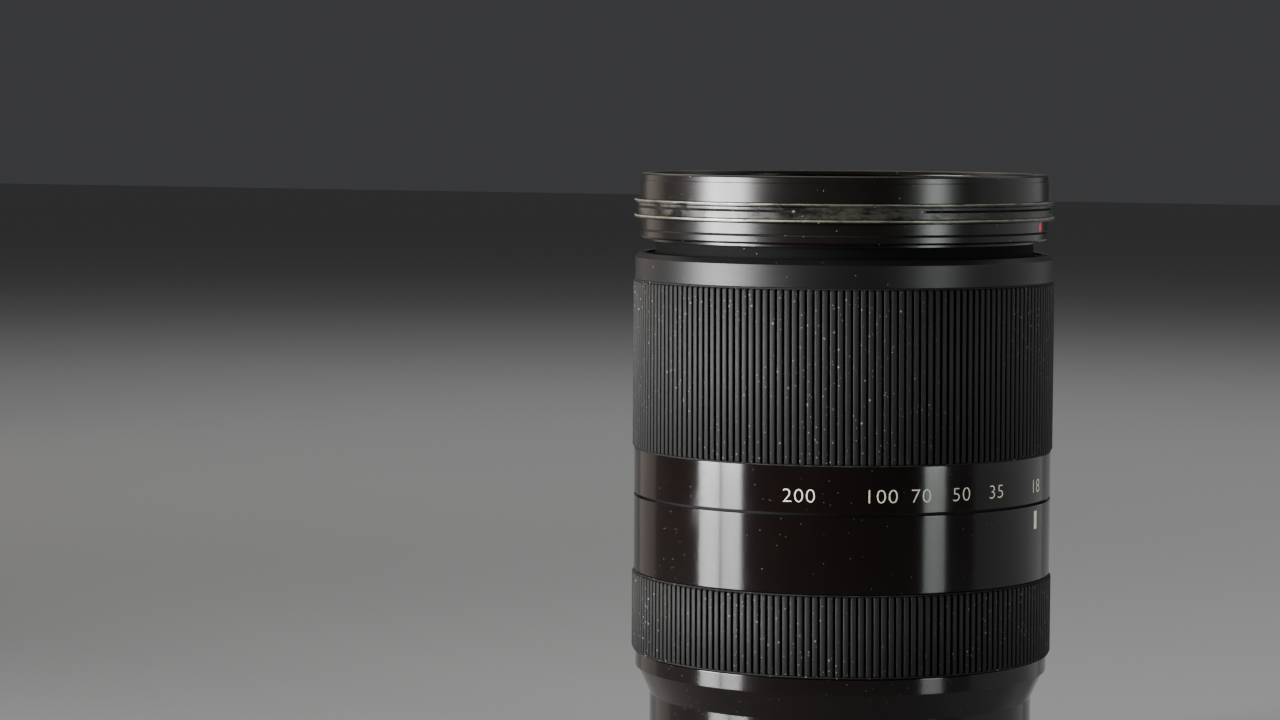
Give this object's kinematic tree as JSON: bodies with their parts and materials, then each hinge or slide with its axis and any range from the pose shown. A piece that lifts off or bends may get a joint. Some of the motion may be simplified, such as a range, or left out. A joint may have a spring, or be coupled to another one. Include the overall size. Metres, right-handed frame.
{
  "type": "zoom camera lens",
  "caption": "Zoom lens for a mirrorless camera, with ribbed rubber zoom and focus rings, a focal-length scale and a barrel that extends in two stages.",
  "frame": {"origin": "centre of the mount flange face that meets the camera", "axes": "+Z along the optical axis towards the front of the lens; the index line faces -Y"},
  "size_m": [0.0683, 0.068, 0.102],
  "materials": {
    "baffle_black": "flocked matte black",
    "blade_black": "dry-film black",
    "board_green": "solder mask",
    "cam_metal": "matte black anodised",
    "contact_gold": "gold plated",
    "dark_screw": "blackened steel",
    "felt": "black felt",
    "front_black": "semi-gloss black, worn at the edges",
    "gloss_black": "gloss black anodised, finely turned",
    "key_brass": "machined brass",
    "lens_glass": "coated optical glass",
    "magnet": "nickel plated",
    "moulded_black": "matte moulded plastic",
    "plated_mount": "satin plated metal",
    "red_mark": "filled red paint",
    "rod_steel": "ground steel",
    "roller_white": "self-lubricating plastic",
    "rubber": "matte moulded rubber",
    "satin_black": "satin black anodised",
    "screw_steel": "turned steel",
    "white_mark": "filled white paint"
  },
  "bodies": {
    "rear": {"mount_plate": "plated_mount", "mount_screws": "screw_steel", "contact_block": "moulded_black", "contact_pins": "contact_gold", "rear_baffle": "baffle_black", "rear_cover": "gloss_black", "main_frame": "moulded_black", "focus_sensors": "moulded_black", "main_board": "board_green", "guide_barrel": "cam_metal", "barrel_screws": "dark_screw", "index_mark": "white_mark", "index_band": "gloss_black"},
    "lock": {"zoom_lock_switch": "moulded_black"},
    "zoom": {"zoom_ring": "satin_black", "zoom_drive_key": "key_brass", "zoom_grip": "rubber", "scale_ring": "gloss_black", "cap_ring": "satin_black", "dust_seal": "felt", "cam_barrel": "cam_metal"},
    "extension": {"extension_barrel": "satin_black"},
    "front": {"front_barrel": "satin_black", "hood_index_dot": "red_mark", "front_ring": "front_black", "name_ring": "moulded_black", "front_cell": "satin_black", "front_lens": "lens_glass", "second_lens": "lens_glass", "front_retainer": "satin_black"},
    "variator": {"variator_rollers": "roller_white", "variator_cell": "moulded_black", "variator_lens_front": "lens_glass", "variator_lens_rear": "lens_glass"},
    "relay": {"relay_rollers": "roller_white", "relay_cell": "moulded_black", "relay_lens": "lens_glass", "iris_cover": "moulded_black"},
    "iris": {"iris_drive_ring": "moulded_black"},
    "stabiliser_x": {"stabiliser_slider": "moulded_black"},
    "stabiliser_y": {"stabiliser_frame": "moulded_black", "stabiliser_lens": "lens_glass"},
    "rear_group": {"rear_rollers": "roller_white", "focus_rods": "rod_steel", "rear_cell": "moulded_black", "rear_lens": "lens_glass", "focus_magnets": "magnet"},
    "focus_group": {"focus_cell": "moulded_black", "focus_lens": "lens_glass"},
    "focus": {"focus_ring": "moulded_black", "focus_grip": "rubber"},
    "blade_1": {"iris_blade_1": "blade_black"},
    "blade_2": {"iris_blade_2": "blade_black"},
    "blade_3": {"iris_blade_3": "blade_black"},
    "blade_4": {"iris_blade_4": "blade_black"},
    "blade_5": {"iris_blade_5": "blade_black"},
    "blade_6": {"iris_blade_6": "blade_black"},
    "blade_7": {"iris_blade_7": "blade_black"}
  },
  "joints": [
    {"name": "zoom_turn", "type": "hinge", "parent": "rear", "child": "zoom", "pos_m": [0, 0, 0], "axis": [0, 0, 1], "range_deg": [0, 77]},
    {"name": "focus_turn", "type": "hinge", "parent": "rear", "child": "focus", "pos_m": [0, 0, 0.027], "axis": [0, 0, 1], "continuous": true},
    {"name": "zoom_lock_slide", "type": "slide", "parent": "rear", "child": "lock", "axis": [0, 0, 1], "range_m": [0, 0.002]},
    {"name": "extension_rise", "type": "slide", "parent": "zoom", "child": "extension", "axis": [0, 0, 1], "range_m": [0, 0.029]},
    {"name": "front_rise", "type": "slide", "parent": "rear", "child": "front", "axis": [0, 0, 1], "range_m": [0, 0.058]},
    {"name": "variator_rise", "type": "slide", "parent": "rear", "child": "variator", "axis": [0, 0, 1], "range_m": [0, 0.008]},
    {"name": "relay_rise", "type": "slide", "parent": "rear", "child": "relay", "axis": [0, 0, 1], "range_m": [0, 0.026]},
    {"name": "rear_group_rise", "type": "slide", "parent": "rear", "child": "rear_group", "axis": [0, 0, 1], "range_m": [0, 0.019]},
    {"name": "focus_slide", "type": "slide", "parent": "rear_group", "child": "focus_group", "axis": [0, 0, 1], "range_m": [0, 0.0026]},
    {"name": "stabiliser_shift_x", "type": "slide", "parent": "relay", "child": "stabiliser_x", "axis": [1, 0, 0], "range_m": [-0.0007, 0.0007]},
    {"name": "stabiliser_shift_y", "type": "slide", "parent": "stabiliser_x", "child": "stabiliser_y", "axis": [0, 1, 0], "range_m": [-0.0007, 0.0007]},
    {"name": "iris_turn", "type": "hinge", "parent": "relay", "child": "iris", "pos_m": [0, 0, 0.03515], "axis": [0, 0, 1], "range_deg": [0, 12]},
    {"name": "blade_1_swing", "type": "hinge", "parent": "relay", "child": "blade_1", "pos_m": [0.0146, 0, 0.0365], "axis": [0, 0, 1], "range_deg": [0, 28]},
    {"name": "blade_2_swing", "type": "hinge", "parent": "relay", "child": "blade_2", "pos_m": [0.0091, 0.01141, 0.0365], "axis": [0, 0, 1], "range_deg": [0, 28]},
    {"name": "blade_3_swing", "type": "hinge", "parent": "relay", "child": "blade_3", "pos_m": [-0.00325, 0.01423, 0.0365], "axis": [0, 0, 1], "range_deg": [0, 28]},
    {"name": "blade_4_swing", "type": "hinge", "parent": "relay", "child": "blade_4", "pos_m": [-0.01315, 0.00633, 0.0365], "axis": [0, 0, 1], "range_deg": [0, 28]},
    {"name": "blade_5_swing", "type": "hinge", "parent": "relay", "child": "blade_5", "pos_m": [-0.01315, -0.00633, 0.0365], "axis": [0, 0, 1], "range_deg": [0, 28]},
    {"name": "blade_6_swing", "type": "hinge", "parent": "relay", "child": "blade_6", "pos_m": [-0.00325, -0.01423, 0.0365], "axis": [0, 0, 1], "range_deg": [0, 28]},
    {"name": "blade_7_swing", "type": "hinge", "parent": "relay", "child": "blade_7", "pos_m": [0.0091, -0.01141, 0.0365], "axis": [0, 0, 1], "range_deg": [0, 28]}
  ],
  "couplings": [
    {"joint": "extension_rise", "follows": "zoom_turn", "m_per_rad": 0.021578},
    {"joint": "front_rise", "follows": "zoom_turn", "m_per_rad": 0.043157},
    {"joint": "variator_rise", "follows": "zoom_turn", "m_per_rad": 0.005952},
    {"joint": "relay_rise", "follows": "zoom_turn", "m_per_rad": 0.019346},
    {"joint": "rear_group_rise", "follows": "zoom_turn", "m_per_rad": 0.014137},
    {"joint": "blade_1_swing", "follows": "iris_turn", "ratio": 2.3333},
    {"joint": "blade_2_swing", "follows": "iris_turn", "ratio": 2.3333},
    {"joint": "blade_3_swing", "follows": "iris_turn", "ratio": 2.3333},
    {"joint": "blade_4_swing", "follows": "iris_turn", "ratio": 2.3333},
    {"joint": "blade_5_swing", "follows": "iris_turn", "ratio": 2.3333},
    {"joint": "blade_6_swing", "follows": "iris_turn", "ratio": 2.3333},
    {"joint": "blade_7_swing", "follows": "iris_turn", "ratio": 2.3333}
  ]
}
